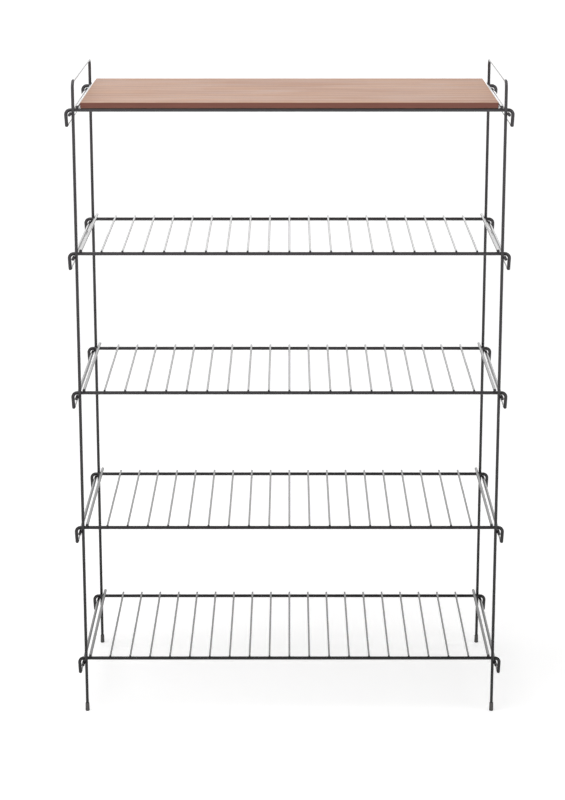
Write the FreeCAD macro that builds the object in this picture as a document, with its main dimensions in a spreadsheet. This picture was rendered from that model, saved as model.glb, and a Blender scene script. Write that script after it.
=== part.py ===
import FreeCAD, Part
import math
import os
import Sketcher

# Free-standing wire shelf rack.  Two inverted-U side loops stand on rubber foot caps and carry
# welded rungs.  Five shelves hang on the rungs by the turned-down ends of their rods: four are
# wire grids and the top one carries a loose wooden board.
#
# Frame: millimetres, +X across the width, -Y at the front, +Z up.  The origin is on the floor,
# midway between the four feet.

doc = FreeCAD.newDocument("WireShelfRack")
sheet = doc.addObject("Spreadsheet::Sheet", "Dims")

DRIVING_DIMENSIONS = (
    ("frame_width", 680.0, "between the axes of the left and right uprights"),
    ("frame_depth", 285.0, "between the axes of a loop's front and rear uprights"),
    ("frame_height", 1064.2, "floor to the axis of a loop's top bar"),
    ("loop_bend_radius", 12.0, "centreline radius of the loop's two top bends"),
    ("upright_dia", 5.0, "wire of the side loops"),
    ("rung_dia", 5.0, "wire of the rungs"),
    ("rung_overhang", 11.0, "rung beyond the upright's axis, front and rear"),
    ("first_rung_height", 86.4, "floor to the axis of the lowest rung"),
    ("level_count", 5, "number of levels, the top one with the board"),
    ("top_bar_rise", 51.0, "axis of the top rung to the axis of the top bar"),
    ("clearance", 0.3, "between pieces that are not welded together"),
    ("weld_sink", 0.3, "how far crossing wires melt into each other"),
    ("rod_dia", 5.6, "front and rear rod of a shelf"),
    ("hook_drop", 27.0, "rod axis to the tip of its hook"),
    ("hook_bend_radius", 7.2, "centreline radius of the hook's bend"),
    ("hook_slack", 0.9, "between the rung's outer side and the hook's tip"),
    ("hook_tip_round", 2.2, "rounding of the hook's tip"),
    ("end_wire_dia", 5.0, "thick wire that closes each end of a shelf"),
    ("end_wire_gap", 1.5, "between the end wire and the upright beside it"),
    ("end_wire_front", 3.2, "end wire beyond the front rod's axis"),
    ("end_wire_rear", 15.0, "end wire beyond the rear rod's axis"),
    ("wire_tip_round", 0.8, "rounding of the cut ends of the thick wires"),
    ("cross_wire_dia", 3.4, "thin wires of the grid"),
    ("cross_wire_count", 19, "thin wires between the two end wires"),
    ("cross_wire_front", 2.4, "thin wire beyond the front rod's axis"),
    ("cross_wire_rear", 5.8, "thin wire beyond the rear rod's axis"),
    ("tie_wire_dia", 2.4, "thin wire that joins the front and rear hooks"),
    ("tie_wire_rise", 3.0, "hook's tip to the tie wire's axis"),
    ("tie_wire_sink", 2.0, "how far the tie wire's ends melt into the hooks"),
    ("board_gap", 2.0, "between the board's end and the end wire beside it"),
    ("board_thickness", 9.0, "wooden board"),
    ("board_arris", 0.8, "rounding of the board's long edges and ends"),
    ("board_corner_radius", 2.0, "upright corners of the board"),
    ("cap_length", 14.0, "rubber foot cap"),
    ("cap_floor", 2.0, "rubber under the end of the upright"),
    ("cap_wall", 0.7, "rubber around the upright at the cap's mouth"),
    ("cap_flare", 0.4, "how much the cap's radius grows towards the floor"),
    ("cap_grip", 0.1, "how far the upright stretches the cap, on the radius"),
    ("cap_edge_round", 0.5, "rounding of the cap's lower edge"),
)

for row, (alias, number, meaning) in enumerate(DRIVING_DIMENSIONS, start=1):
    sheet.set(f"A{row}", alias)
    sheet.set(f"B{row}", str(number))
    sheet.set(f"C{row}", meaning)
    sheet.setAlias(f"B{row}", alias)
doc.recompute()


def cell(alias):
    """The expression that reads one driving dimension."""
    return f"<<Dims>>.{alias}"


def size(expression):
    """The number that an expression of driving dimensions gives."""
    result = sheet.evalExpression(str(expression))
    return float(getattr(result, "Value", result))


# Places and lengths that follow from the driving dimensions, as expressions.

LOOP_X = f"({cell('frame_width')} / 2)"
UPRIGHT_Y = f"({cell('frame_depth')} / 2)"
RUNG_OFFSET = f"(({cell('upright_dia')} + {cell('rung_dia')}) / 2 - {cell('weld_sink')})"
RUNG_X = f"({LOOP_X} + {RUNG_OFFSET})"
RUNG_LENGTH = f"({cell('frame_depth')} + 2 * {cell('rung_overhang')})"
LEVEL_PITCH = (f"(({cell('frame_height')} - {cell('top_bar_rise')} - {cell('first_rung_height')})"
               f" / ({cell('level_count')} - 1))")

# A rod passes each upright on the inside and rests on the rung just outside it.
ROD_Y = f"({UPRIGHT_Y} - ({cell('upright_dia')} + {cell('rod_dia')}) / 2 - {cell('clearance')})"
ROD_SEAT = f"(({cell('rung_dia')} + {cell('rod_dia')}) / 2 + {cell('clearance')})"

# A hook's bend starts over the rung's axis, and its leg leans back in until its tip only just
# passes the rung's outer side.
TIP_REACH = f"({cell('rung_dia')} / 2 + {cell('hook_slack')} + {cell('rod_dia')} / 2)"
TIP_X = f"({RUNG_X} + {TIP_REACH})"
HOOK_LEAN = f"({cell('hook_bend_radius')} - {TIP_REACH})"

END_WIRE_X = (f"({LOOP_X} - {cell('upright_dia')} / 2 - {cell('end_wire_gap')}"
              f" - {cell('end_wire_dia')} / 2)")
END_WIRE_RISE = f"(({cell('rod_dia')} + {cell('end_wire_dia')}) / 2 - {cell('weld_sink')})"
END_WIRE_LENGTH = f"(2 * {ROD_Y} + {cell('end_wire_front')} + {cell('end_wire_rear')})"

CROSS_WIRE_PITCH = f"(2 * {END_WIRE_X} / ({cell('cross_wire_count')} + 1))"
CROSS_WIRE_RISE = f"(({cell('rod_dia')} + {cell('cross_wire_dia')}) / 2 - {cell('weld_sink')})"
CROSS_WIRE_LENGTH = f"(2 * {ROD_Y} + {cell('cross_wire_front')} + {cell('cross_wire_rear')})"

# The tie wire runs flush with the inner side of the hooks' tips, so that it clears the rung.
TIE_WIRE_DROP = f"({cell('hook_drop')} - {cell('tie_wire_rise')})"
TIE_WIRE_X = f"({TIP_X} - {cell('rod_dia')} / 2 + {cell('tie_wire_dia')} / 2)"
TIE_WIRE_LENGTH = f"(2 * {ROD_Y} - {cell('rod_dia')} + 2 * {cell('tie_wire_sink')})"

BOARD_LENGTH = f"(2 * ({END_WIRE_X} - {cell('end_wire_dia')} / 2 - {cell('board_gap')}))"
BOARD_DEPTH = f"(2 * {ROD_Y} + {cell('rod_dia')})"
BOARD_RISE = f"({cell('rod_dia')} / 2 + {cell('clearance')})"


def rung_height(level):
    """Expression for the height of a level's rung axis; level 1 is the lowest."""
    return f"({cell('first_rung_height')} + {level - 1} * {LEVEL_PITCH})"


def rod_height(level):
    """Expression for the height of a level's rod axis, seated on its rungs."""
    return f"({rung_height(level)} + {ROD_SEAT})"


ALONG_Y = FreeCAD.Vector(0, 1, 0)
ALONG_Z = FreeCAD.Vector(0, 0, 1)
SKETCH_NORMAL = FreeCAD.Vector(0, 0, 1)

sub_parts = []


def new_body(label, x="0", y="0", z="0"):
    """A PartDesign body at an expression-driven place, kept in the list of sub-parts."""
    body = doc.addObject("PartDesign::Body", label)
    body.Label = label
    for axis, expression in (("x", x), ("y", y), ("z", z)):
        body.setExpression(f"Placement.Base.{axis}", expression)
    sub_parts.append(body)
    return body


def origin_feature(body, role):
    """One of the body's own origin planes or axes, found by its role."""
    return next(item for item in body.Origin.OriginFeatures if item.Role == role)


def new_sketch(body, name, plane):
    """A sketch on one of the body's origin planes."""
    sketch = body.newObject("Sketcher::SketchObject", name)
    sketch.AttachmentSupport = (origin_feature(body, plane), [""])
    sketch.MapMode = "FlatFace"
    return sketch


def drive(sketch, name, expression, kind, *elements):
    """Add a dimension to a sketch and tie it to an expression."""
    constraint = Sketcher.Constraint(kind, *elements, size(expression))
    index = sketch.addConstraint(constraint)
    sketch.renameConstraint(index, name)
    sketch.setExpression(f"Constraints.{name}", expression)


def point(x, y):
    return FreeCAD.Vector(x, y, 0)


def circle_sketch(body, name, plane, diameter, across=None):
    """A circle on a plane, centred on the origin or moved across along the sketch's x axis."""
    sketch = new_sketch(body, name, plane)
    shift = size(across) if across else 0.0
    outline = Part.Circle(point(shift, 0), SKETCH_NORMAL, size(diameter) / 2)
    sketch.addGeometry(outline, False)
    if across:
        drive(sketch, "across", across, "DistanceX", -1, 1, 0, 3)
        sketch.addConstraint(Sketcher.Constraint("PointOnObject", 0, 3, -1))
    else:
        sketch.addConstraint(Sketcher.Constraint("Coincident", 0, 3, -1, 1))
    drive(sketch, "diameter", diameter, "Diameter", 0)
    return sketch


def flat_faces(feature, normal):
    """Names of a feature's flat faces that look along a direction or against it."""
    names = []
    for number, face in enumerate(feature.Shape.Faces, start=1):
        if isinstance(face.Surface, Part.Plane) and abs(face.Surface.Axis.dot(normal)) > 0.9:
            names.append(f"Face{number}")
    return names


def round_ends(body, feature, radius, normal):
    """Fillet the rims of the flat faces that look along a direction."""
    doc.recompute()
    fillet = body.newObject("PartDesign::Fillet", body.Label + "_tips")
    fillet.Base = (feature, flat_faces(feature, normal))
    fillet.setExpression("Radius", radius)
    return fillet


def swept(body, profile, spine):
    """Sweep a profile along a spine with sharp frames kept square to it."""
    pipe = body.newObject("PartDesign::AdditivePipe", body.Label + "_pipe")
    pipe.Profile = (profile, [""])
    pipe.Spine = (spine, [f"Edge{number + 1}" for number in range(len(spine.Shape.Edges))])
    return pipe


def mirrored(body, feature, plane):
    """Mirror a feature about one of the body's origin planes, and make that the body's tip."""
    mirror = body.newObject("PartDesign::Mirrored", body.Label + "_mirror")
    mirror.Originals = [feature]
    mirror.MirrorPlane = (origin_feature(body, plane), [""])
    body.Tip = mirror
    return mirror


def side_loop(label, side):
    """An inverted U of one wire: two uprights and the top bar, bent in the YZ plane."""
    body = new_body(label, x=f"{side} * {LOOP_X}")
    top = size(cell("frame_height"))
    reach = size(UPRIGHT_Y)
    bend = size(cell("loop_bend_radius"))
    foot = size(cell("cap_floor"))

    path = new_sketch(body, label + "_path", "YZ_Plane")
    corner = Part.Circle(point(reach - bend, top - bend), SKETCH_NORMAL, bend)
    path.addGeometry(Part.LineSegment(point(0, top), point(reach - bend, top)), False)
    path.addGeometry(Part.ArcOfCircle(corner, 0, math.pi / 2), False)
    path.addGeometry(Part.LineSegment(point(reach, top - bend), point(reach, foot)), False)
    path.addConstraint(Sketcher.Constraint("PointOnObject", 0, 1, -2))
    path.addConstraint(Sketcher.Constraint("Horizontal", 0))
    path.addConstraint(Sketcher.Constraint("Tangent", 0, 2, 1, 2))
    path.addConstraint(Sketcher.Constraint("Tangent", 1, 1, 2, 1))
    path.addConstraint(Sketcher.Constraint("Vertical", 2))
    drive(path, "bend", cell("loop_bend_radius"), "Radius", 1)
    drive(path, "top", cell("frame_height"), "DistanceY", -1, 1, 0, 1)
    drive(path, "reach", UPRIGHT_Y, "DistanceX", -1, 1, 2, 2)
    drive(path, "foot", cell("cap_floor"), "DistanceY", -1, 1, 2, 2)

    section = circle_sketch(body, label + "_section", "XZ_Plane", cell("upright_dia"))
    section.setExpression("AttachmentOffset.Base.y", cell("frame_height"))
    doc.recompute()
    return mirrored(body, swept(body, section, path), "XZ_Plane")


def hooked_rod(label, level, side):
    """A rod whose ends turn down over the rungs, bent in the XZ plane."""
    body = new_body(label, y=f"{side} * {ROD_Y}", z=rod_height(level))
    bend = size(cell("hook_bend_radius"))
    centre = size(RUNG_X)
    drop = size(cell("hook_drop"))
    tip = size(TIP_X)
    # The leg leans in by the small angle at which it leaves the bend, tangent to it.
    lean = size(HOOK_LEAN) / (drop - bend)

    path = new_sketch(body, label + "_path", "XZ_Plane")
    corner = Part.Circle(point(centre, -bend), SKETCH_NORMAL, bend)
    bend_end = point(centre + bend * math.cos(lean), -bend - bend * math.sin(lean))
    path.addGeometry(Part.LineSegment(point(0, 0), point(centre, 0)), False)
    path.addGeometry(Part.ArcOfCircle(corner, -lean, math.pi / 2), False)
    path.addGeometry(Part.LineSegment(bend_end, point(tip, -drop)), False)
    path.addConstraint(Sketcher.Constraint("Coincident", 0, 1, -1, 1))
    path.addConstraint(Sketcher.Constraint("Horizontal", 0))
    path.addConstraint(Sketcher.Constraint("Tangent", 0, 2, 1, 2))
    path.addConstraint(Sketcher.Constraint("Tangent", 1, 1, 2, 1))
    drive(path, "bend", cell("hook_bend_radius"), "Radius", 1)
    drive(path, "centre", RUNG_X, "DistanceX", -1, 1, 1, 3)
    drive(path, "tip", TIP_X, "DistanceX", -1, 1, 2, 2)
    drive(path, "drop", cell("hook_drop"), "DistanceY", 2, 2, -1, 1)

    section = circle_sketch(body, label + "_section", "YZ_Plane", cell("rod_dia"))
    doc.recompute()
    mirror = mirrored(body, swept(body, section, path), "YZ_Plane")
    return round_ends(body, mirror, cell("hook_tip_round"), ALONG_Z)


def straight_wire(label, diameter, length, x, front_y, z, tip_round=None):
    """A straight wire from its front end back along +Y."""
    body = new_body(label, x=x, y=front_y, z=z)
    section = circle_sketch(body, label + "_section", "XZ_Plane", diameter)
    pad = body.newObject("PartDesign::Pad", label + "_pad")
    pad.Profile = section
    pad.Reversed = True
    pad.setExpression("Length", length)
    if tip_round:
        return round_ends(body, pad, tip_round, ALONG_Y)
    return pad


def rung(label, level, side):
    front_y = f"-{RUNG_LENGTH} / 2"
    return straight_wire(label, cell("rung_dia"), RUNG_LENGTH, f"{side} * {RUNG_X}", front_y,
                         rung_height(level), cell("wire_tip_round"))


def end_wire(label, level, side):
    front_y = f"-{ROD_Y} - {cell('end_wire_front')}"
    return straight_wire(label, cell("end_wire_dia"), END_WIRE_LENGTH, f"{side} * {END_WIRE_X}",
                         front_y, f"{rod_height(level)} + {END_WIRE_RISE}", cell("wire_tip_round"))


def tie_wire(label, level, side):
    front_y = f"-{TIE_WIRE_LENGTH} / 2"
    return straight_wire(label, cell("tie_wire_dia"), TIE_WIRE_LENGTH, f"{side} * {TIE_WIRE_X}",
                         front_y, f"{rod_height(level)} - {TIE_WIRE_DROP}")


def cross_wires(label, level):
    """The thin wires of a grid: one wire repeated at an even pitch between the end wires."""
    body = new_body(label, y=f"-{ROD_Y} - {cell('cross_wire_front')}",
                    z=f"{rod_height(level)} + {CROSS_WIRE_RISE}")
    body.AllowCompound = True
    first_x = f"{CROSS_WIRE_PITCH} - {END_WIRE_X}"
    section = circle_sketch(body, label + "_section", "XZ_Plane", cell("cross_wire_dia"), first_x)
    pad = body.newObject("PartDesign::Pad", label + "_pad")
    pad.Profile = section
    pad.Reversed = True
    pad.setExpression("Length", CROSS_WIRE_LENGTH)
    pattern = body.newObject("PartDesign::LinearPattern", label + "_pattern")
    pattern.Originals = [pad]
    pattern.Direction = (origin_feature(body, "X_Axis"), [""])
    pattern.setExpression("Length", f"{CROSS_WIRE_PITCH} * ({cell('cross_wire_count')} - 1)")
    pattern.setExpression("Occurrences", cell("cross_wire_count"))
    body.Tip = pattern
    return pattern


def foot_cap(label, side_x, side_y):
    """A flared rubber cap turned around the upright's axis, open at the top."""
    body = new_body(label, x=f"{side_x} * {LOOP_X}", y=f"{side_y} * {UPRIGHT_Y}")
    bore = f"({cell('upright_dia')} / 2 - {cell('cap_grip')})"
    mouth = f"({cell('upright_dia')} / 2 + {cell('cap_wall')})"
    foot = f"({mouth} + {cell('cap_flare')})"
    floor = cell("cap_floor")
    length = cell("cap_length")

    profile = new_sketch(body, label + "_profile", "XZ_Plane")
    corners = [(0, 0), (size(foot), 0), (size(mouth), size(length)), (size(bore), size(length)),
               (size(bore), size(floor)), (0, size(floor))]
    count = len(corners)
    for number in range(count):
        start = corners[number]
        end = corners[(number + 1) % count]
        profile.addGeometry(Part.LineSegment(point(*start), point(*end)), False)
    for number in range(count):
        following = (number + 1) % count
        profile.addConstraint(Sketcher.Constraint("Coincident", number, 2, following, 1))
    profile.addConstraint(Sketcher.Constraint("Coincident", 0, 1, -1, 1))
    for flat in (0, 2, 4):
        profile.addConstraint(Sketcher.Constraint("Horizontal", flat))
    for upright in (3, 5):
        profile.addConstraint(Sketcher.Constraint("Vertical", upright))
    drive(profile, "foot_radius", foot, "DistanceX", -1, 1, 0, 2)
    drive(profile, "mouth_radius", mouth, "DistanceX", -1, 1, 1, 2)
    drive(profile, "bore_radius", bore, "DistanceX", -1, 1, 3, 1)
    drive(profile, "cap_length", length, "DistanceY", -1, 1, 1, 2)
    drive(profile, "floor_height", floor, "DistanceY", -1, 1, 4, 1)

    turned = body.newObject("PartDesign::Revolution", label + "_turned")
    turned.Profile = profile
    turned.ReferenceAxis = (origin_feature(body, "Z_Axis"), [""])
    turned.Angle = 360.0
    doc.recompute()
    rim = body.newObject("PartDesign::Fillet", label + "_rim")
    lowest = next(number for number, edge in enumerate(turned.Shape.Edges, start=1)
                  if edge.BoundBox.ZMax < size(floor) / 2 and isinstance(edge.Curve, Part.Circle))
    rim.Base = (turned, [f"Edge{lowest}"])
    rim.setExpression("Radius", cell("cap_edge_round"))
    return rim


def board(label, level):
    """The wooden board that lies on the top shelf's two rods, between its end wires."""
    body = new_body(label, z=f"{rod_height(level)} + {BOARD_RISE}")
    half_length = size(BOARD_LENGTH) / 2
    half_depth = size(BOARD_DEPTH) / 2
    outline = new_sketch(body, label + "_outline", "XY_Plane")
    corners = [(-half_length, -half_depth), (half_length, -half_depth),
               (half_length, half_depth), (-half_length, half_depth)]
    for number in range(4):
        start = corners[number]
        end = corners[(number + 1) % 4]
        outline.addGeometry(Part.LineSegment(point(*start), point(*end)), False)
    for number in range(4):
        following = (number + 1) % 4
        outline.addConstraint(Sketcher.Constraint("Coincident", number, 2, following, 1))
    for long_side in (0, 2):
        outline.addConstraint(Sketcher.Constraint("Horizontal", long_side))
    for short_side in (1, 3):
        outline.addConstraint(Sketcher.Constraint("Vertical", short_side))
    outline.addConstraint(Sketcher.Constraint("Symmetric", 0, 1, 1, 2, -1, 1))
    drive(outline, "board_length", BOARD_LENGTH, "DistanceX", 0, 1, 0, 2)
    drive(outline, "board_depth", BOARD_DEPTH, "DistanceY", 1, 1, 1, 2)

    pad = body.newObject("PartDesign::Pad", label + "_pad")
    pad.Profile = outline
    pad.setExpression("Length", cell("board_thickness"))
    doc.recompute()
    upright_edges = [f"Edge{number}" for number, edge in enumerate(pad.Shape.Edges, start=1)
                     if edge.BoundBox.ZLength > size(cell("board_thickness")) / 2]
    corner = body.newObject("PartDesign::Fillet", label + "_corners")
    corner.Base = (pad, upright_edges)
    corner.setExpression("Radius", cell("board_corner_radius"))
    return round_ends(body, corner, cell("board_arris"), ALONG_Z)


SIDES = (("left", -1), ("right", 1))
ENDS = (("front", -1), ("rear", 1))
level_count = int(size(cell("level_count")))

for side_name, side_sign in SIDES:
    side_loop(f"{side_name}_side_loop", side_sign)
    for level in range(1, level_count + 1):
        rung(f"{side_name}_rung_{level}", level, side_sign)
    for end_name, end_sign in ENDS:
        foot_cap(f"{end_name}_{side_name}_foot_cap", side_sign, end_sign)

for level in range(1, level_count + 1):
    is_top = level == level_count
    shelf = "top_shelf" if is_top else f"shelf_{level}"
    for end_name, end_sign in ENDS:
        hooked_rod(f"{shelf}_{end_name}_rod", level, end_sign)
    for side_name, side_sign in SIDES:
        end_wire(f"{shelf}_{side_name}_end_wire", level, side_sign)
        tie_wire(f"{shelf}_{side_name}_tie_wire", level, side_sign)
    if is_top:
        board(f"{shelf}_board", level)
    else:
        cross_wires(f"{shelf}_cross_wires", level)

doc.recompute()

for item in doc.Objects:
    if "Invalid" in item.State or "Error" in item.State:
        raise RuntimeError(f"{item.Label} did not build: {item.State}")
for body in sub_parts:
    if body.Shape.isNull() or not body.Shape.isValid():
        raise RuntimeError(f"{body.Label} has no valid shape")

os.makedirs("parts", exist_ok=True)
for body in sub_parts:
    body.Shape.exportStep(f"parts/{body.Label}.step")
print(len(sub_parts), "sub-parts written")
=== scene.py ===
import math
import random

import bmesh
import bpy
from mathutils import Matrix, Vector


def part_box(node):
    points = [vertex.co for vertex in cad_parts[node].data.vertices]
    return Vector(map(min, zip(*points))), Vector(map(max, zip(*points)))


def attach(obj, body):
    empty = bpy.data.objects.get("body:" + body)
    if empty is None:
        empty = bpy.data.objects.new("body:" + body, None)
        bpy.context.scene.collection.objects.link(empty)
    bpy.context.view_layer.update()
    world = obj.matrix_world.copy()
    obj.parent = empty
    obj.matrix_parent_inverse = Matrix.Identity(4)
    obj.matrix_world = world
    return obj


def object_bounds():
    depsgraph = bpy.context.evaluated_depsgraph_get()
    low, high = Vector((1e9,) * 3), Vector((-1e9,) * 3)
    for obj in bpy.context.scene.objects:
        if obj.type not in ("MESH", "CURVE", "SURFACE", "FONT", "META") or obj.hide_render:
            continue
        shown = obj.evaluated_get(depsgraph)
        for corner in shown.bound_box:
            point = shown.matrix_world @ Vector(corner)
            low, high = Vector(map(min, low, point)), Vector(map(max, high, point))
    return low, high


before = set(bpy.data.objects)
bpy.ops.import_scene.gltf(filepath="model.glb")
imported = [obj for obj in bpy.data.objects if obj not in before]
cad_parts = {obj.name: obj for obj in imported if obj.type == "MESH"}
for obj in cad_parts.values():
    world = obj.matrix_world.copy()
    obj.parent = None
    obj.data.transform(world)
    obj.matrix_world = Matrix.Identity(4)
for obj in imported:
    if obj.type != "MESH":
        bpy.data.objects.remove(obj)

# A free-standing wire shelf rack: black lacquered wire, a loose wooden board on the top shelf and
# a grey rubber cap under each upright.  Everything is in metres, in the frame of the CAD model.

CAD_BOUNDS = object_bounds()

MM = 0.001
GRIDS = ("shelf_1", "shelf_2", "shelf_3", "shelf_4")
SHELVES = (*GRIDS, "top_shelf")
SIDES = ("left", "right")
ENDS = ("front", "rear")
LEVELS = range(1, len(SHELVES) + 1)

X_AXIS = Vector((1, 0, 0))
Y_AXIS = Vector((0, 1, 0))
Z_AXIS = Vector((0, 0, 1))


def corners(node):
    """Lowest and highest corner of a CAD node, as vectors."""
    low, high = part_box(node)
    return Vector(low), Vector(high)


def middle(node):
    """The centre of a CAD node's box."""
    low, high = corners(node)
    return (low + high) / 2


# ---------------------------------------------------------------- node trees

NONE = (0.0, 0.0, 0.0)
FULL = (1.0, 1.0, 1.0)

# The sockets of a Mix node that mixes colours, by number, because its sockets share names.
MIX_FACTOR = 0
MIX_FIRST = 6
MIX_SECOND = 7
MIX_RESULT = 2


class Nodes:
    """Short calls for building the node tree of one material or world."""

    def __init__(self, owner, output="ShaderNodeOutputMaterial"):
        owner.use_nodes = True
        self.owner = owner
        self.tree = owner.node_tree
        self.tree.nodes.clear()
        self.output = self.add(output)

    def add(self, kind, **settings):
        """A new node."""
        node = self.tree.nodes.new(kind)
        for key, value in settings.items():
            setattr(node, key, value)
        return node

    def link(self, source, target):
        """Join an output to an input."""
        self.tree.links.new(source, target)

    def feed(self, value, target):
        """Give an input another node's socket, a colour or a plain number."""
        if isinstance(value, bpy.types.NodeSocket):
            self.link(value, target)
        elif isinstance(value, tuple):
            target.default_value = (*value, 1.0)
        else:
            target.default_value = value

    def surface(self, **inputs):
        """A Principled shader with plain values on its own sockets, joined to the output."""
        shader = self.add("ShaderNodeBsdfPrincipled")
        for name, value in inputs.items():
            shader.inputs[name].default_value = value
        self.link(shader.outputs["BSDF"], self.output.inputs["Surface"])
        return shader

    def spot(self):
        """The point itself, in metres, in its object's own frame."""
        return self.add("ShaderNodeTexCoord").outputs["Object"]

    def place(self, scale, offset=NONE):
        """The point, scaled along each axis and then moved."""
        mapping = self.add("ShaderNodeMapping")
        mapping.inputs["Scale"].default_value = scale
        mapping.inputs["Location"].default_value = offset
        self.link(self.spot(), mapping.inputs["Vector"])
        return mapping.outputs["Vector"]

    def part(self, axis, vector):
        """One component of a vector."""
        node = self.add("ShaderNodeSeparateXYZ")
        self.link(vector, node.inputs["Vector"])
        return node.outputs[axis]

    def maths(self, operation, *values):
        """A math node over sockets or plain numbers."""
        node = self.add("ShaderNodeMath", operation=operation)
        for value, target in zip(values, node.inputs):
            self.feed(value, target)
        return node.outputs["Value"]

    def noise(self, scale, detail=3.0, roughness=0.5, distortion=0.0):
        """Noise whose features are about one over the scale long on each axis."""
        node = self.add("ShaderNodeTexNoise")
        node.inputs["Scale"].default_value = 1.0
        node.inputs["Detail"].default_value = detail
        node.inputs["Roughness"].default_value = roughness
        node.inputs["Distortion"].default_value = distortion
        self.link(self.place(scale), node.inputs["Vector"])
        return node.outputs["Fac"]

    def wave(self, node, scale, distortion, detail_scale, offset=NONE):
        """The value of a wave texture node that has its kind and direction."""
        node.inputs["Scale"].default_value = 1.0
        node.inputs["Distortion"].default_value = distortion
        node.inputs["Detail"].default_value = 3.0
        node.inputs["Detail Scale"].default_value = detail_scale
        self.link(self.place(scale, offset), node.inputs["Vector"])
        return node.outputs["Fac"]

    def bands(self, across, **shape):
        """Bands across an axis."""
        node = self.add("ShaderNodeTexWave", wave_type="BANDS", bands_direction=across)
        return self.wave(node, **shape)

    def rings(self, around, **shape):
        """Rings around an axis."""
        node = self.add("ShaderNodeTexWave", wave_type="RINGS", rings_direction=around)
        return self.wave(node, **shape)

    def ramp(self, factor, *stops):
        """A colour ramp between two (position, colour) stops."""
        node = self.add("ShaderNodeValToRGB")
        for element, (position, colour) in zip(node.color_ramp.elements, stops):
            element.position = position
            element.color = (*colour, 1.0)
        self.link(factor, node.inputs["Fac"])
        return node.outputs["Color"]

    def span(self, factor, low, high, start=0.35, end=0.65, **settings):
        """Map a factor's start..end onto low..high.  The usual range is a noise's middle."""
        node = self.add("ShaderNodeMapRange", **settings)
        node.inputs["From Min"].default_value = start
        node.inputs["From Max"].default_value = end
        self.feed(low, node.inputs["To Min"])
        self.feed(high, node.inputs["To Max"])
        self.link(factor, node.inputs["Value"])
        return node.outputs["Result"]

    def mix(self, factor, first, second, blend="MIX"):
        """Mix two colours by a factor."""
        node = self.add("ShaderNodeMix", data_type="RGBA", blend_type=blend)
        self.feed(factor, node.inputs[MIX_FACTOR])
        self.feed(first, node.inputs[MIX_FIRST])
        self.feed(second, node.inputs[MIX_SECOND])
        return node.outputs[MIX_RESULT]

    def bump(self, shader, height, distance, strength=1.0):
        """Bump from a height in 0..1, scaled by a distance in metres; calls can be stacked."""
        node = self.add("ShaderNodeBump")
        node.inputs["Strength"].default_value = strength
        node.inputs["Distance"].default_value = distance
        self.link(height, node.inputs["Height"])
        normal = shader.inputs["Normal"]
        if normal.is_linked:
            self.link(normal.links[0].from_socket, node.inputs["Normal"])
        self.link(node.outputs["Normal"], normal)

    def background_ray(self):
        """1 for the rays that show a background: camera, glossy and transmission rays."""
        path = self.add("ShaderNodeLightPath")
        total = self.maths("MAXIMUM", path.outputs["Is Camera Ray"], path.outputs["Is Glossy Ray"])
        return self.maths("MAXIMUM", total, path.outputs["Is Transmission Ray"])


# ---------------------------------------------------------------- finishes

DEEP_BLACK = (0.006, 0.005, 0.006)
SOFT_BLACK = (0.013, 0.012, 0.013)
GROUND_COAT = (0.09, 0.086, 0.082)
GROUND_ROUGHNESS = (0.5, 0.5, 0.5)
GRAIN_DEPTH = 0.008 * MM
CHIP_DEPTH = 0.06 * MM

# A grey that grows from nothing to its full cover between two heights is painted light: it makes
# the upper parts lighter, as if they were lit more strongly. Its faint purple is painted colour
# fringing from the bright background. The same grey also marks specks of dust.
DUST_AND_PAINTED_LIGHT = (0.113, 0.103, 0.113)
PAINTED_LIGHT_COVER = 0.55
PAINTED_LIGHT_HEIGHTS = (0.15, 1.0)


def lacquer(name="black_lacquer", peel=0.05 * MM, gloss=(0.05, 0.11)):
    """Gloss black stoving lacquer: a faint orange peel and specks of dust, with painted light that
    greys it more towards the top.

    Here and there it is chipped down to its dull grey ground coat."""
    nodes = Nodes(bpy.data.materials.new(name))
    shader = nodes.surface(Roughness=0.08, IOR=1.45)
    cloud = nodes.noise((30, 30, 30))
    tone = nodes.ramp(cloud, (0.3, DEEP_BLACK), (0.7, SOFT_BLACK))
    # Painted light: the lacquer greys with height, standing in for the stronger light on the upper
    # parts.
    painted_light = nodes.span(nodes.part("Z", nodes.spot()), 0.0, PAINTED_LIGHT_COVER, *PAINTED_LIGHT_HEIGHTS)
    tone = nodes.mix(painted_light, tone, DUST_AND_PAINTED_LIGHT)
    speck = nodes.noise((1400, 1400, 1400), detail=1.0)
    tone = nodes.mix(nodes.ramp(speck, (0.70, NONE), (0.78, FULL)), tone, DUST_AND_PAINTED_LIGHT)
    chip = nodes.noise((260, 260, 260), detail=4.0, roughness=0.6)
    chipped = nodes.ramp(chip, (0.735, NONE), (0.745, FULL))
    nodes.link(nodes.mix(chipped, tone, GROUND_COAT), shader.inputs["Base Color"])
    smooth = nodes.span(cloud, *gloss)
    nodes.link(nodes.mix(chipped, smooth, GROUND_ROUGHNESS), shader.inputs["Roughness"])
    grain = nodes.noise((420, 420, 420), detail=2.0)
    waves = nodes.noise((60, 60, 60), detail=2.0)
    nodes.bump(shader, grain, GRAIN_DEPTH)
    nodes.bump(shader, waves, peel)
    nodes.bump(shader, chipped, -CHIP_DEPTH)
    return nodes.owner


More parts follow.
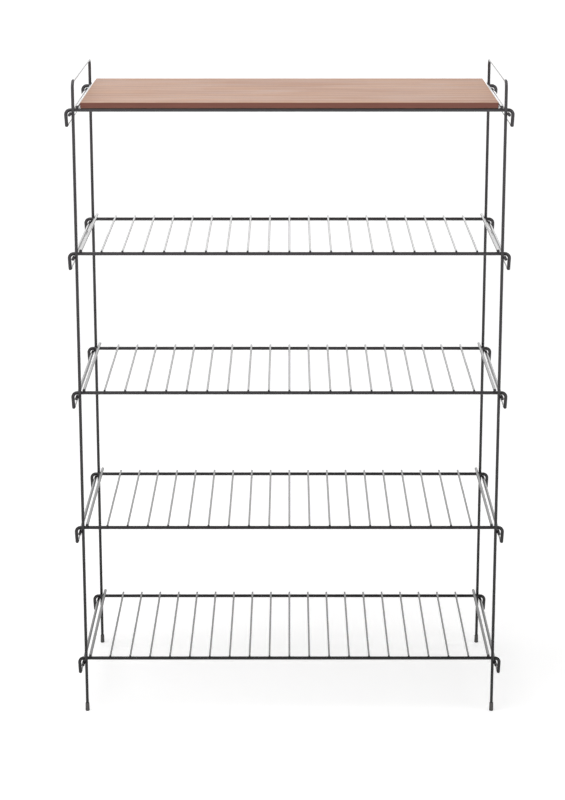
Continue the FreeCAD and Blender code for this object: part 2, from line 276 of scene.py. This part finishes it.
# The top's and underside's tones hold a painted sheen over the wood's own colour, which the edges
# show without it.
WOOD_AND_SHEEN_LIGHT = (0.455, 0.235, 0.132)
WOOD_AND_SHEEN_DARK = (0.405, 0.200, 0.110)
EDGE_WOOD = (0.275, 0.105, 0.076)
END_DARK = (0.16, 0.060, 0.042)
END_LIGHT = (0.25, 0.096, 0.068)
STREAK_SCALE = (6.0, 90.0, 90.0)
FIBRE_SCALE = (14.0, 750.0, 750.0)
CLOUD_SCALE = (5.0, 14.0, 14.0)
PORE_SCALE = (90.0, 2400.0, 2400.0)
FIGURE_SCALE = (1.1, 12.0, 12.0)
RING_SCALE = 85.0              # puts the growth rings about 4 mm apart
PITH_IN_FRONT = 35 * MM        # where the middle of the tree was, seen from the board's middle
PITH_BELOW = 60 * MM
PORE_DEPTH = 0.05 * MM
STREAK_DEPTH = 0.05 * MM


def board_wood():
    """Satin-varnished reddish brown hardwood: a faint flat-sawn figure and fine pores along the
    board, and end grain in arcs on its two ends. The top and underside are painted lighter than
    the edges: a painted sheen, the varnish's reflection seen at a low angle, over the wood's own
    colour that the edges show."""
    nodes = Nodes(bpy.data.materials.new("board_wood"))
    shader = nodes.surface(Roughness=0.5, IOR=1.45)

    figure = nodes.bands("Y", scale=FIGURE_SCALE, distortion=5.0, detail_scale=0.8)
    tone = nodes.ramp(figure, (0.1, WOOD_AND_SHEEN_LIGHT), (0.9, WOOD_AND_SHEEN_DARK))
    streak = nodes.noise(STREAK_SCALE, detail=5.0, roughness=0.55, distortion=0.8)
    streaks = nodes.ramp(streak, (0.32, (0.91, 0.895, 0.885)), (0.68, (1.04, 1.03, 1.02)))
    tone = nodes.mix(0.8, tone, streaks, "MULTIPLY")
    fibre = nodes.noise(FIBRE_SCALE, detail=3.0, roughness=0.6)
    fibres = nodes.ramp(fibre, (0.35, (0.90, 0.88, 0.87)), (0.65, (1.04, 1.03, 1.02)))
    tone = nodes.mix(0.8, tone, fibres, "MULTIPLY")
    cloud = nodes.noise(CLOUD_SCALE, detail=3.0, distortion=0.6)
    clouds = nodes.ramp(cloud, (0.35, (0.90, 0.86, 0.86)), (0.65, (1.05, 1.06, 1.03)))
    tone = nodes.mix(0.8, tone, clouds, "MULTIPLY")
    pore = nodes.noise(PORE_SCALE, detail=2.0)
    pores = nodes.ramp(pore, (0.30, (0.55, 0.50, 0.48)), (0.42, FULL))
    tone = nodes.mix(0.55, tone, pores, "MULTIPLY")

    # Painted sheen: the flat faces take the lighter tones, and the edges take the wood's own
    # darker one.
    facing = nodes.add("ShaderNodeTexCoord").outputs["Normal"]
    upward = nodes.maths("ABSOLUTE", nodes.part("Z", facing))
    sideways = nodes.maths("ABSOLUTE", nodes.part("X", facing))
    on_edge = nodes.span(upward, 1.0, 0.0, 0.3, 0.6)
    on_end = nodes.span(sideways, 0.0, 1.0, 0.5, 0.9)
    edge_tone = nodes.mix(0.6, EDGE_WOOD, streaks, "MULTIPLY")
    edge_fibres = nodes.ramp(fibre, (0.35, (0.80, 0.78, 0.77)), (0.65, (1.08, 1.06, 1.05)))
    edge_tone = nodes.mix(0.8, edge_tone, edge_fibres, "MULTIPLY")
    tone = nodes.mix(on_edge, tone, edge_tone)
    pith = middle("top_shelf_board") - Vector((0, PITH_IN_FRONT, PITH_BELOW))
    rings = nodes.rings("X", scale=(1.0, RING_SCALE, RING_SCALE), distortion=2.5,
                        detail_scale=1.5, offset=-RING_SCALE * pith)
    end_grain = nodes.ramp(rings, (0.1, END_DARK), (0.9, END_LIGHT))
    tone = nodes.mix(on_end, tone, end_grain)
    nodes.link(tone, shader.inputs["Base Color"])

    nodes.link(nodes.span(streak, 0.42, 0.56), shader.inputs["Roughness"])
    nodes.bump(shader, pore, PORE_DEPTH, strength=0.6)
    nodes.bump(shader, streak, STREAK_DEPTH, strength=0.5)
    return nodes.owner


RUBBER_DARK = (0.085, 0.082, 0.08)
RUBBER_LIGHT = (0.13, 0.126, 0.122)
BOTTOM_DARK = (0.05, 0.047, 0.044)
BOTTOM_DARK_COVER = 0.55             # at the floor; it fades out at the height of the darker band
BOTTOM_DARK_HEIGHT = 3 * MM
RUBBER_GRAIN_DEPTH = 0.08 * MM


def cap_rubber():
    """Matt grey rubber, darker towards the floor over its lowest 3 mm."""
    nodes = Nodes(bpy.data.materials.new("cap_rubber"))
    shader = nodes.surface(Roughness=0.7, IOR=1.5)
    grain = nodes.noise((700, 700, 700), detail=4.0)
    tone = nodes.ramp(grain, (0.3, RUBBER_DARK), (0.7, RUBBER_LIGHT))
    near_floor = nodes.span(nodes.part("Z", nodes.spot()), BOTTOM_DARK_COVER, 0.0, 0.0, BOTTOM_DARK_HEIGHT)
    nodes.link(nodes.mix(near_floor, tone, BOTTOM_DARK), shader.inputs["Base Color"])
    nodes.link(nodes.span(grain, 0.6, 0.8), shader.inputs["Roughness"])
    nodes.bump(shader, grain, RUBBER_GRAIN_DEPTH, strength=0.5)
    return nodes.owner


LACQUER = lacquer()
WELD_LACQUER = lacquer("weld_lacquer", peel=0.12 * MM, gloss=(0.10, 0.22))
WOOD = board_wood()
RUBBER = cap_rubber()


def dress_cad_nodes():
    """Give every CAD node its finish."""
    for name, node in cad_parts.items():
        if name.endswith("_board"):
            finish = WOOD
        elif name.endswith("_foot_cap"):
            finish = RUBBER
        else:
            finish = LACQUER
        node.data.materials.clear()
        node.data.materials.append(finish)
        for polygon in node.data.polygons:
            polygon.material_index = 0


dress_cad_nodes()

# ---------------------------------------------------------------- welds

SEED = 31
WELD_SIDES = 20
WELD_RINGS = 6
WELD_HOLD = 0.7         # how far across the upper wire the melted metal reaches, in its radii
WELD_FLARE = 0.25       # how far it creeps out beyond that, as a share of the wires' mean radius
WELD_PINCH = 0.16       # how far it necks in between the two wires, as a share of its width
WELD_DEPTH = 0.15 * MM  # how far its rims lie inside the wires' skins
WELD_RIPPLE = 0.05      # how uneven its outline is
BEAD_RIPPLE = 0.06      # and a bead's
BEAD_SHARES = (1.3, 1.1, 1.45)     # a bead's half-size along each axis, in the tie wire's radii
BEAD_IN = 0.8                      # how far inward of the rod's axis it sits, in the rod's radii

chance = random.Random(SEED)


def wobble(share):
    """A smooth random ripple around a weld, as a function of the angle."""
    phases = [chance.uniform(0, 2 * math.pi) for _ in range(3)]
    return lambda angle: 1 + share * sum(
        math.cos(turns * angle + phase) / turns for turns, phase in enumerate(phases, start=1))


def closed_rings(mesh, rings, first_pole, last_pole):
    """Join rings of points into a closed skin, with a pole at each end."""
    rows = [[mesh.verts.new(spot) for spot in ring] for ring in rings]
    count = len(rows[0])
    for row, next_row in zip(rows, rows[1:]):
        for start in range(count):
            end = (start + 1) % count
            mesh.faces.new((row[start], row[end], next_row[end], next_row[start]))
    for row, spot, turned in ((rows[0], first_pole, True), (rows[-1], last_pole, False)):
        pole = mesh.verts.new(spot)
        for start in range(count):
            corner_pair = [row[start], row[(start + 1) % count]]
            if turned:
                corner_pair.reverse()
            mesh.faces.new((*corner_pair, pole))


def sag(radius, across):
    """How far a round wire's side falls away at a distance across from its crest."""
    return radius - math.sqrt(radius * radius - across * across)


def crossing_weld(mesh, touch, lower_axis, lower_radius, normal, upper_radius):
    """The collar of melted metal between two wires that cross at right angles.

    The upper wire lies on the lower one, along the normal.  The collar's lower rim lies just
    inside the lower wire's skin and its upper rim just inside the upper wire's."""
    upper_axis = normal.cross(lower_axis)
    upper_hold = WELD_HOLD * upper_radius
    lower_hold = upper_hold * math.sqrt(lower_radius / upper_radius)
    flare = WELD_FLARE * (upper_radius + lower_radius) / 2
    ripple = wobble(WELD_RIPPLE)
    rings = []
    for ring in range(WELD_RINGS):
        share = ring / (WELD_RINGS - 1)
        neck = 1 - WELD_PINCH * math.sin(math.pi * share)
        spots = []
        for step in range(WELD_SIDES):
            angle = 2 * math.pi * step / WELD_SIDES
            along = math.cos(angle) * ripple(angle)
            across = math.sin(angle) * ripple(angle)
            bottom = (along * (upper_hold + flare), across * lower_hold)
            top = (along * upper_hold, across * (lower_hold + flare))
            low = -sag(lower_radius, bottom[1]) - WELD_DEPTH
            high = sag(upper_radius, top[0]) + WELD_DEPTH
            spot = [neck * (first + share * (last - first)) for first, last in zip(bottom, top)]
            spots.append(touch + lower_axis * spot[0] + upper_axis * spot[1]
                         + normal * (low + share * (high - low)))
        rings.append(spots)
    closed_rings(mesh, rings, touch - normal * WELD_DEPTH, touch + normal * WELD_DEPTH)


def butt_weld(mesh, place, radii):
    """A small uneven bead where a wire's end runs into the side of another."""
    ripple = wobble(BEAD_RIPPLE)
    rings = []
    for ring in range(1, WELD_RINGS):
        slope = math.pi * ring / WELD_RINGS
        spots = []
        for step in range(WELD_SIDES):
            angle = 2 * math.pi * step / WELD_SIDES
            reach = math.sin(slope) * ripple(angle)
            offset = (reach * math.cos(angle), -math.cos(slope), reach * math.sin(angle))
            spots.append(place + Vector(part * radius for part, radius in zip(offset, radii)))
        rings.append(spots)
    closed_rings(mesh, rings, place - Y_AXIS * radii[1], place + Y_AXIS * radii[1])


def weld_piece(name, body, mesh):
    """Turn a mesh of welds into one lacquered piece that rides on a body."""
    bmesh.ops.recalc_face_normals(mesh, faces=mesh.faces)
    for face in mesh.faces:
        face.smooth = True
    data = bpy.data.meshes.new(name)
    mesh.to_mesh(data)
    mesh.free()
    data.materials.append(WELD_LACQUER)
    piece = bpy.data.objects.new(name, data)
    bpy.context.scene.collection.objects.link(piece)
    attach(piece, body)


def rod_line(shelf, end):
    """A rod's axis as a point at its middle, and its radius; its hooks hang below the axis."""
    low, high = corners(f"{shelf}_{end}_rod")
    radius = (high.y - low.y) / 2
    return Vector((0, (low.y + high.y) / 2, high.z - radius)), radius


def grid_wires(shelf):
    """The x of every thin wire of a grid, and the wires' radius."""
    low, high = corners(f"{shelf}_cross_wires")
    radius = (high.z - low.z) / 2
    first = low.x + radius
    last = high.x - radius
    pitch = middle(f"{shelf}_right_end_wire").x - last
    gaps = round((last - first) / pitch)
    return [first + (last - first) * gap / gaps for gap in range(gaps + 1)], radius


def rod_crossings(shelf):
    """The x, the underside's height and the radius of every wire that lies on the rods."""
    crossings = []
    for side in SIDES:
        low, high = corners(f"{shelf}_{side}_end_wire")
        crossings.append(((low.x + high.x) / 2, low.z, (high.x - low.x) / 2))
    if shelf in GRIDS:
        places, radius = grid_wires(shelf)
        underside = corners(f"{shelf}_cross_wires")[0].z
        crossings += [(x, underside, radius) for x in places]
    return crossings


def shelf_welds(shelf):
    """The welds of one shelf: every wire that crosses a rod, and the tie wires' ends."""
    mesh = bmesh.new()
    for end, inward in zip(ENDS, (1, -1)):
        axis, rod_radius = rod_line(shelf, end)
        for x, underside, wire_radius in rod_crossings(shelf):
            touch = Vector((x, axis.y, (axis.z + rod_radius + underside) / 2))
            crossing_weld(mesh, touch, X_AXIS, rod_radius, Z_AXIS, wire_radius)
        for side in SIDES:
            low, high = corners(f"{shelf}_{side}_tie_wire")
            wire_radius = (high.x - low.x) / 2
            place = (low + high) / 2
            place.y = axis.y + inward * BEAD_IN * rod_radius
            butt_weld(mesh, place, [share * wire_radius for share in BEAD_SHARES])
    weld_piece(f"{shelf}_welds", shelf, mesh)


def side_frame_welds():
    """The welds between the rungs and the uprights of both side loops."""
    mesh = bmesh.new()
    for side, outward in zip(SIDES, (-1, 1)):
        low, high = corners(f"{side}_side_loop")
        upright_radius = (high.x - low.x) / 2
        upright_skin = (low.x + high.x) / 2 + outward * upright_radius
        for level in LEVELS:
            rung = middle(f"{side}_rung_{level}")
            rung_low, rung_high = corners(f"{side}_rung_{level}")
            rung_radius = (rung_high.x - rung_low.x) / 2
            rung_skin = rung.x - outward * rung_radius
            for y in (low.y + upright_radius, high.y - upright_radius):
                touch = Vector(((upright_skin + rung_skin) / 2, y, rung.z))
                crossing_weld(mesh, touch, Z_AXIS, upright_radius, outward * X_AXIS, rung_radius)
    weld_piece("side_frame_welds", "side_frames", mesh)


for shelf in SHELVES:
    shelf_welds(shelf)
side_frame_welds()

# ---------------------------------------------------------------- studio

CENTRE = (Vector(CAD_BOUNDS[0]) + Vector(CAD_BOUNDS[1])) / 2

# The floor and backdrop.
PAPER = (0.90, 0.90, 0.90)
HALF_WIDTH = 14.0
ROOM_IN_FRONT = 9.0
ROOM_BEHIND = 6.0
COVE_RADIUS = 3.0
COVE_STEPS = 24
BACKDROP_HEIGHT = 12.0

# What is added to the lamps' light on the floor and backdrop, only for the rays that show them.
FLOOR_LIFT = 0.425
FAR_LIFT = 0.71
FAR_DISTANCES = (1.0, 7.5)     # the floor's lift gives way to the far one between these
REAR_LIFT = -0.08
REAR_DISTANCES = (0.5, 4.0)    # the rear one comes in between these, behind the object's middle
BACKDROP_LIFT = 0.36
BACKDROP_HEIGHTS = (0.7, 1.7)  # the backdrop's own one comes in between these
HIGH_SHARE = 0.4
HIGH_HEIGHTS = (2.2, 3.6)      # and between these the whole falls to this share of itself

# The world: how bright it is as a fill light and, in reflections, as a ceiling.
FILL_LEVEL = 0.38
CEILING_LEVEL = 0.3
CEILING_HEIGHTS = (0.15, 0.6)  # sines of the elevations between which walls become ceiling


def studio_white():
    """White floor and backdrop: plain diffuse, lifted to paper white where it is looked at.

    The lift grows with the distance, is greatest on the backdrop 1.7 to 2.2 m up, and is much
    less above that."""
    nodes = Nodes(bpy.data.materials.new("studio_white"))
    diffuse = nodes.add("ShaderNodeBsdfDiffuse")
    nodes.feed(PAPER, diffuse.inputs["Color"])
    spot = nodes.spot()
    away = nodes.add("ShaderNodeVectorMath", operation="LENGTH")
    nodes.link(spot, away.inputs[0])
    behind = nodes.part("Y", spot)
    height = nodes.part("Z", spot)
    floor_lift = nodes.span(away.outputs["Value"], FLOOR_LIFT, FAR_LIFT, *FAR_DISTANCES)
    rear_lift = nodes.span(behind, 0.0, REAR_LIFT, *REAR_DISTANCES)
    rise = nodes.span(height, 0.0, BACKDROP_LIFT, *BACKDROP_HEIGHTS)
    fall = nodes.span(height, 1.0, HIGH_SHARE, *HIGH_HEIGHTS)
    level = nodes.maths("ADD", nodes.maths("ADD", floor_lift, rear_lift), rise)
    level = nodes.maths("MULTIPLY", level, fall)
    lift = nodes.add("ShaderNodeEmission")
    strength = nodes.maths("MULTIPLY", level, nodes.background_ray())
    nodes.link(strength, lift.inputs["Strength"])
    both = nodes.add("ShaderNodeAddShader")
    nodes.link(diffuse.outputs["BSDF"], both.inputs[0])
    nodes.link(lift.outputs["Emission"], both.inputs[1])
    nodes.link(both.outputs["Shader"], nodes.output.inputs["Surface"])
    return nodes.owner


def studio():
    """A floor that curves up into a backdrop, well clear of the object."""
    front = CAD_BOUNDS[0][1] - ROOM_IN_FRONT
    back = CAD_BOUNDS[1][1] + ROOM_BEHIND
    profile = [(front, 0.0)]
    for step in range(COVE_STEPS + 1):
        angle = math.pi / 2 * step / COVE_STEPS
        profile.append((back - COVE_RADIUS + COVE_RADIUS * math.sin(angle),
                        COVE_RADIUS - COVE_RADIUS * math.cos(angle)))
    profile.append((back, BACKDROP_HEIGHT))
    mesh = bmesh.new()
    left, right = [[mesh.verts.new((x, y, z)) for y, z in profile]
                   for x in (-HALF_WIDTH, HALF_WIDTH)]
    for start in range(len(profile) - 1):
        quad = (left[start], right[start], right[start + 1], left[start + 1])
        mesh.faces.new(quad).smooth = True
    data = bpy.data.meshes.new("studio_floor")
    mesh.to_mesh(data)
    mesh.free()
    floor = bpy.data.objects.new("studio_floor", data)
    data.materials.append(studio_white())
    bpy.context.scene.collection.objects.link(floor)


def white_world():
    """White to look at, a dimmer ceiling over white walls in reflections, and a soft fill."""
    nodes = Nodes(bpy.data.worlds.new("studio_world"), "ShaderNodeOutputWorld")
    bpy.context.scene.world = nodes.owner
    direction = nodes.add("ShaderNodeTexCoord").outputs["Generated"]
    reflected = nodes.span(nodes.part("Z", direction), 1.0, CEILING_LEVEL, *CEILING_HEIGHTS,
                           interpolation_type="SMOOTHSTEP")
    looked_at = nodes.add("ShaderNodeLightPath").outputs["Is Camera Ray"]
    shown = nodes.maths("MAXIMUM", looked_at, reflected)
    level = nodes.span(nodes.background_ray(), FILL_LEVEL, shown, 0.0, 1.0)
    background = nodes.add("ShaderNodeBackground")
    nodes.feed(FULL, background.inputs["Color"])
    nodes.link(level, background.inputs["Strength"])
    nodes.link(background.outputs["Background"], nodes.output.inputs["Surface"])


def softbox(name, place, target, size, power):
    """A rectangular area lamp, aimed at a point."""
    lamp = bpy.data.lights.new(name, "AREA")
    lamp.shape = "RECTANGLE"
    lamp.size, lamp.size_y = size
    lamp.energy = power
    holder = bpy.data.objects.new(name, lamp)
    holder.location = place
    holder.rotation_euler = (Vector(target) - Vector(place)).to_track_quat("-Z", "Y").to_euler()
    bpy.context.scene.collection.objects.link(holder)


studio()
white_world()
softbox("key_softbox", place=(-1.0, -0.6, 3.6), target=CENTRE, size=(2.8, 2.8), power=62.0)
softbox("fill_softbox", place=(2.4, -1.6, 3.0), target=CENTRE, size=(2.0, 2.0), power=18.0)
softbox("rear_softbox", place=(0, 5.6, 2.2), target=(0, 0, 1.2), size=(5.4, 2.0), power=40.0)

# ---------------------------------------------------------------- camera

# The camera stands where the photograph's did: in front of the rack, about 1.5 m up.  The
# photograph keeps upright lines upright by lens shift alone.  Here a smaller shift and some tilt
# frame the rack instead, so that it stays in the frame when it is looked at from other sides.
CAMERA_HEIGHT = 1.508
CAMERA_SETBACK = 3.202         # from the front uprights
CAMERA_TILT = math.radians(13.4)
CAMERA_LENS = 92.5
CAMERA_SENSOR = 36.0
SHIFT_UP = -0.15
SHIFT_SIDE = -0.0086
CLIP_END = 60.0


def camera():
    """The photograph's view."""
    data = bpy.data.cameras.new("photo_camera")
    data.lens = CAMERA_LENS
    data.sensor_width = CAMERA_SENSOR
    data.shift_x = SHIFT_SIDE
    data.shift_y = SHIFT_UP
    data.clip_end = CLIP_END
    holder = bpy.data.objects.new("photo_camera", data)
    front_uprights = middle("front_left_foot_cap").y
    holder.location = (0.0, front_uprights - CAMERA_SETBACK, CAMERA_HEIGHT)
    holder.rotation_euler = (math.pi / 2 - CAMERA_TILT, 0.0, 0.0)
    bpy.context.scene.collection.objects.link(holder)
    bpy.context.scene.camera = holder


camera()
bpy.context.scene.view_settings.view_transform = "Standard"
